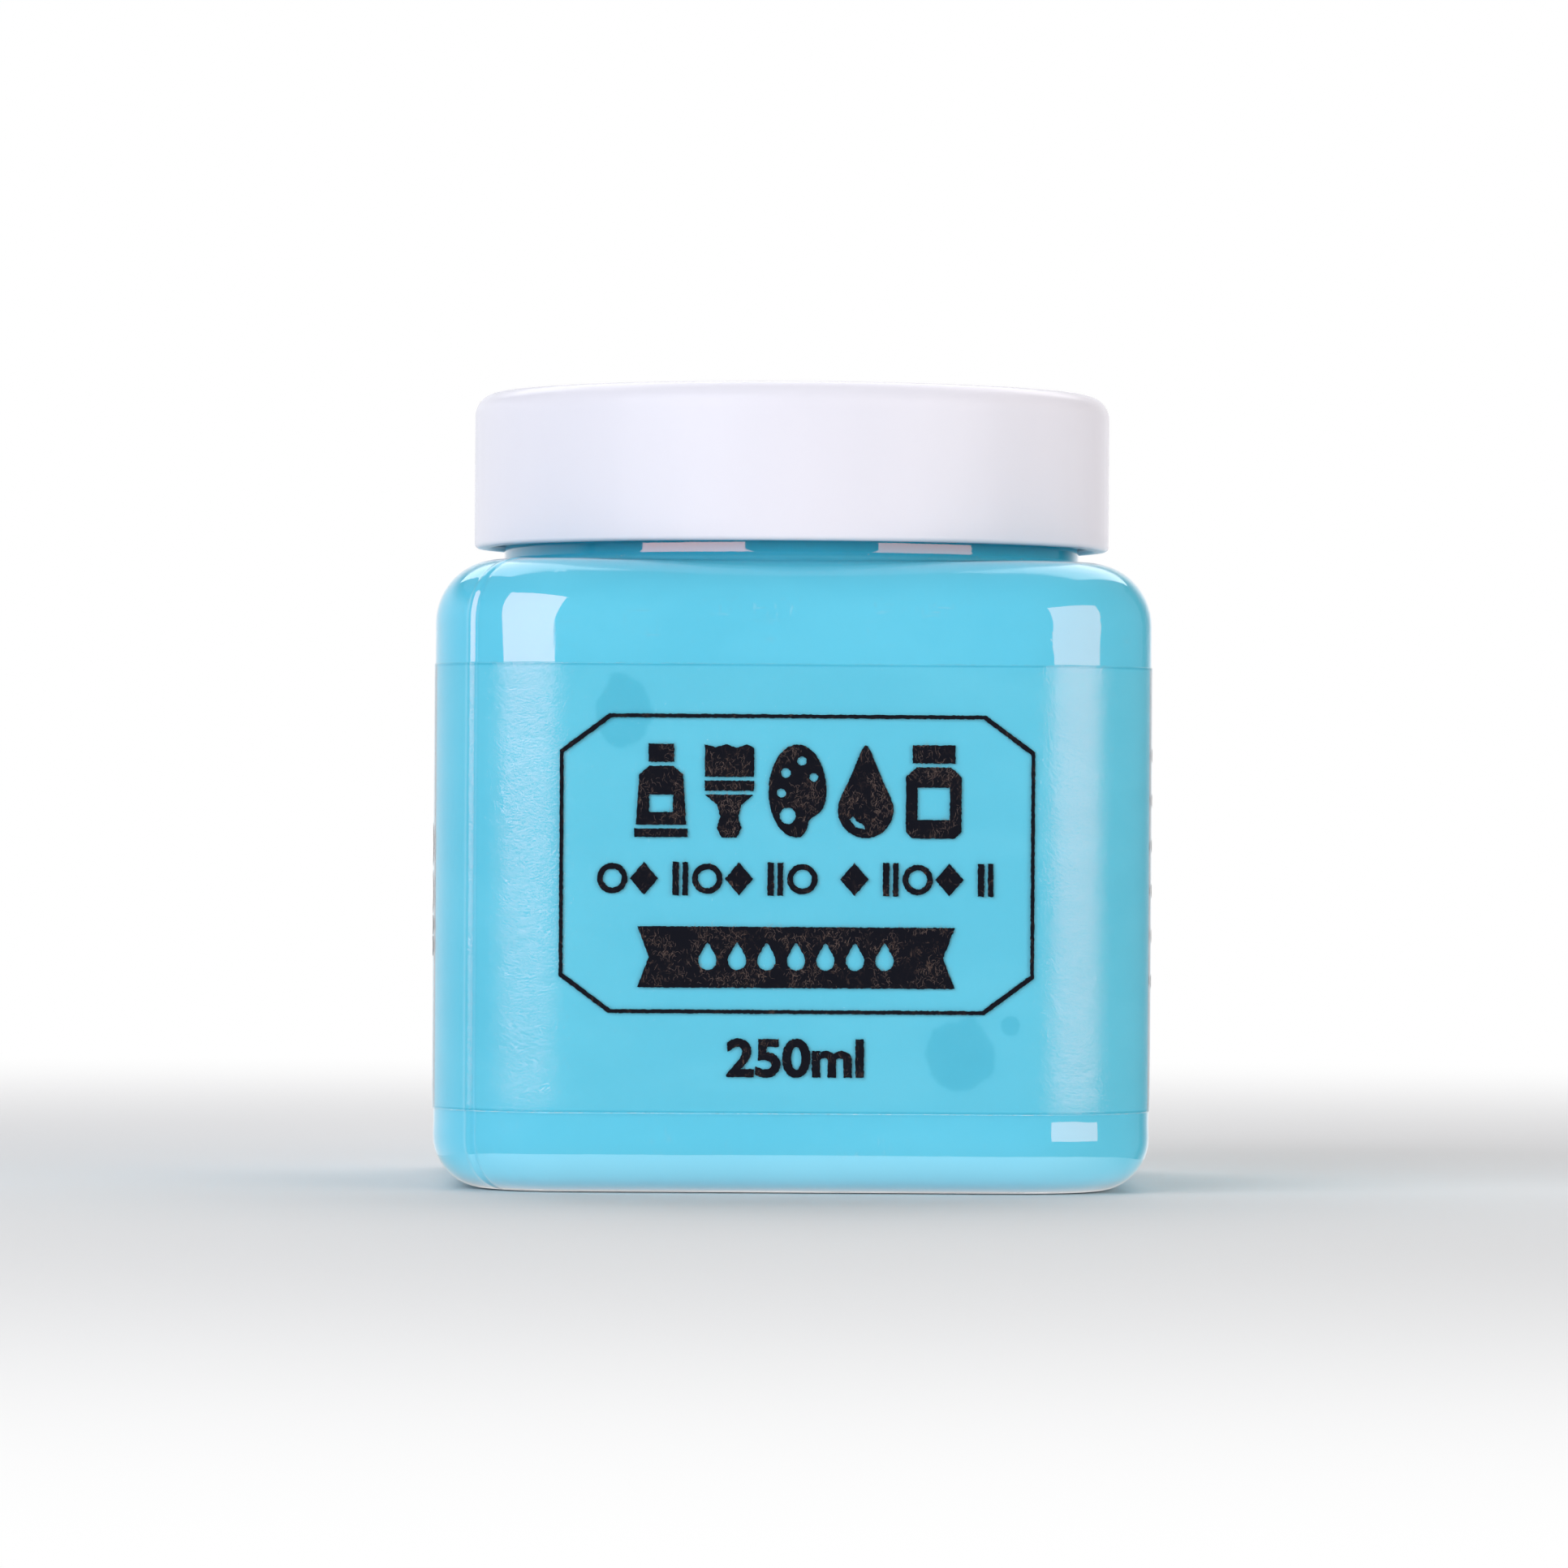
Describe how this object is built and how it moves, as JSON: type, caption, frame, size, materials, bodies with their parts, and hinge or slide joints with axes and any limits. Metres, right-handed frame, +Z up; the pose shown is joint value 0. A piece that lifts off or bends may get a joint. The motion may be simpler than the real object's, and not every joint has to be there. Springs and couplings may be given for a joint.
{
  "type": "paint jar",
  "caption": "Square clear plastic paint jar with a round screw cap, a foam wad, a clear printed wrap label and a fill of turquoise paint.",
  "frame": {"origin": "middle of the base, on the surface the jar stands on", "axes": "+Z up along the neck's axis; the printed front face looks along -Y; X runs along the front face"},
  "size_m": [0.068, 0.068, 0.0761],
  "materials": {
    "clear_pet": "clear glossy blow-moulded PET",
    "paint": "opaque turquoise acrylic paint, seen wet through the wall",
    "printed_film": "clear satin film with black print",
    "cap_white": "glossy white polypropylene",
    "foam": "off-white expanded polyethylene foam"
  },
  "bodies": {
    "jar": {"jar_body": "clear_pet", "paint_fill": "paint", "label_film": "printed_film"},
    "wad": {"cap_liner": "foam"},
    "cap": {"screw_cap": "cap_white"}
  },
  "joints": [
    {"name": "cap_lift", "type": "slide", "parent": "jar", "child": "wad", "axis": [0, 0, 1], "range_m": [0, 0.01693]},
    {"name": "cap_turn", "type": "hinge", "parent": "wad", "child": "cap", "pos_m": [0, 0, 0.0686], "axis": [0, 0, 1], "range_deg": [0, 1440]}
  ],
  "couplings": [
    {"joint": "cap_lift", "follows": "cap_turn", "m_per_rad": 0.00067376}
  ]
}
